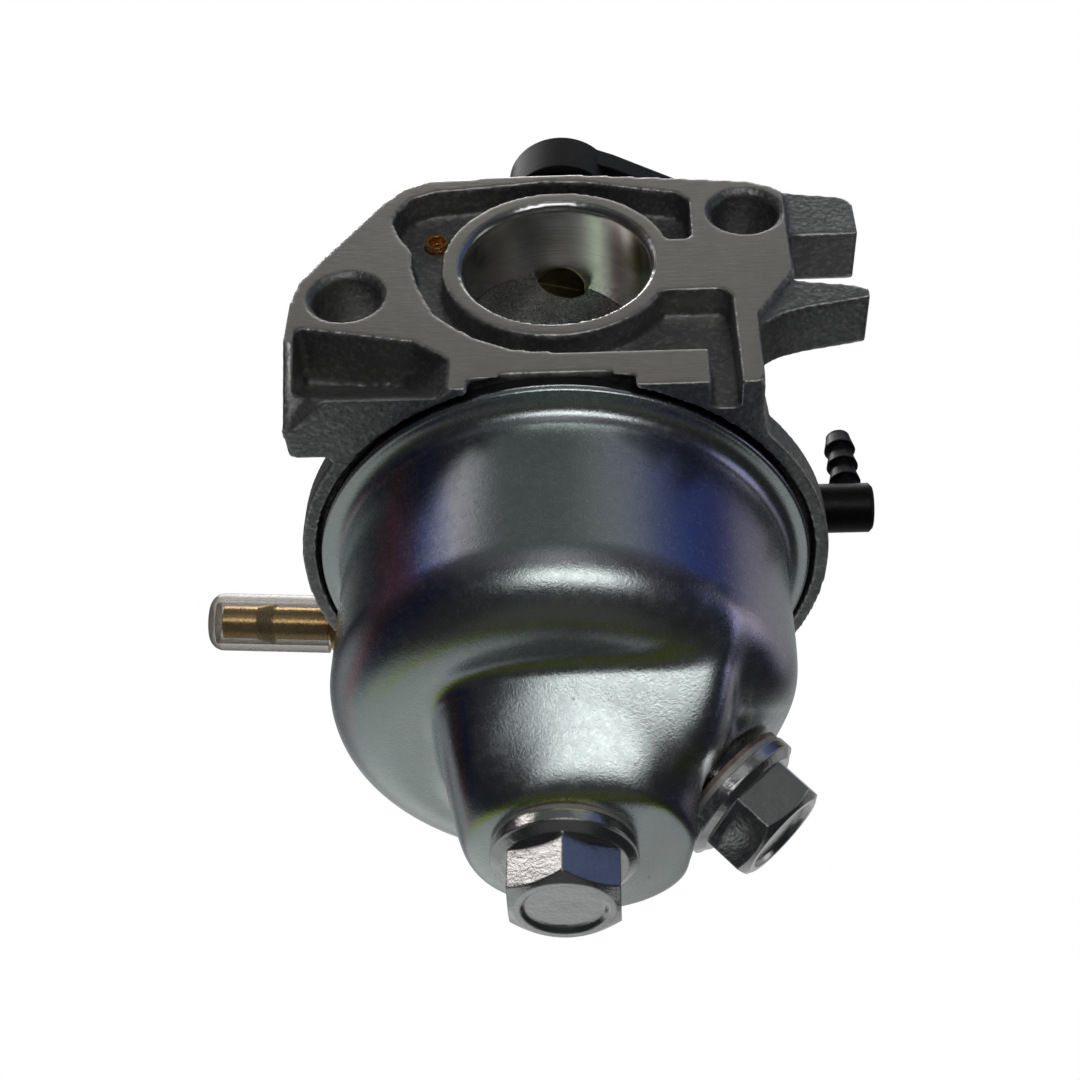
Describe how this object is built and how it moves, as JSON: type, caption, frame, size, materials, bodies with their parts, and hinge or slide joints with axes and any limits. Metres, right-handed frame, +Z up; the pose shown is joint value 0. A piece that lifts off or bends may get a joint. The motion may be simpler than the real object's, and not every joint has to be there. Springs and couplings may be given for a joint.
{
  "type": "float bowl carburetor",
  "caption": "Float-bowl carburetor for a small engine: cast body with stud flanges, choke and throttle butterflies, pressed bowl, drain bolt, fuel nipple with cap and vent elbow.",
  "frame": {"origin": "bore axis where it meets the machined air-side face", "axes": "+Y along the bore towards the engine, +X to the right seen from the air side, +Z up (bowl hangs down -Z)"},
  "size_m": [0.0724, 0.0524, 0.0887],
  "materials": {
    "cast_alloy": "die-cast with machined faces",
    "bowl_plate": "bright zinc plated pressing",
    "bolt_plate": "bright zinc plated",
    "copper_washer": "dull copper and fibre",
    "brass": "turned",
    "brass_plate": "stamped, tarnished",
    "steel": "plated steel",
    "black_plastic": "moulded satin black",
    "seal_rubber": "matte",
    "clear_cap": "translucent smoky plastic"
  },
  "bodies": {
    "body": {"carb_body": "cast_alloy", "bowl_gasket": "seal_rubber", "float_bowl": "bowl_plate", "bowl_bolt": "bolt_plate", "bowl_bolt_washer": "copper_washer", "drain_bolt": "bolt_plate", "drain_bolt_washer": "copper_washer", "drain_boss": "bowl_plate", "main_jet": "brass", "emulsion_tube": "brass", "pilot_jet": "black_plastic", "pilot_air_jet": "brass", "fuel_inlet_nipple": "brass", "vent_elbow": "black_plastic", "choke_seal": "seal_rubber", "throttle_seal": "seal_rubber", "idle_speed_spring": "steel", "mixture_spring": "steel", "expansion_plug": "steel", "float_hinge_pin": "steel", "needle_seat": "brass"},
    "choke": {"choke_shaft": "steel", "choke_plate": "brass_plate", "choke_screw": "steel", "choke_lever": "black_plastic"},
    "throttle": {"throttle_shaft": "steel", "throttle_plate": "brass_plate", "throttle_screws": "steel", "throttle_lever": "bolt_plate"},
    "float_body": {"float": "black_plastic"},
    "needle": {"float_needle": "brass"},
    "idle_screw": {"idle_speed_screw": "bolt_plate"},
    "mix_screw": {"mixture_screw": "brass"},
    "cap": {"nipple_cap": "clear_cap"}
  },
  "joints": [
    {"name": "choke_turn", "type": "hinge", "parent": "body", "child": "choke", "pos_m": [0, 0.0109, 0], "axis": [0, 0, 1], "range_deg": [0, 75]},
    {"name": "throttle_turn", "type": "hinge", "parent": "body", "child": "throttle", "pos_m": [0, 0.038, 0], "axis": [0, 0, -1], "range_deg": [0, 78]},
    {"name": "float_drop", "type": "hinge", "parent": "body", "child": "float_body", "pos_m": [0, 0.0428, -0.0226], "axis": [1, 0, 0], "range_deg": [0, 8]},
    {"name": "needle_slide", "type": "slide", "parent": "body", "child": "needle", "axis": [0, 0, 1], "range_m": [-0.000587, 0]},
    {"name": "idle_screw_turn", "type": "hinge", "parent": "body", "child": "idle_screw", "pos_m": [-0.0095, 0.026, 0.0173], "axis": [0, 1, 0], "range_deg": [-360, 360]},
    {"name": "mixture_screw_turn", "type": "hinge", "parent": "body", "child": "mix_screw", "pos_m": [-0.016, 0.032, 0.005], "axis": [1, 0, 0], "range_deg": [-360, 360]},
    {"name": "cap_pull", "type": "slide", "parent": "body", "child": "cap", "axis": [-0.9976, -0.0698, 0], "range_m": [0, 0.016]}
  ],
  "couplings": [
    {"joint": "needle_slide", "follows": "float_drop", "m_per_rad": -0.0042}
  ]
}
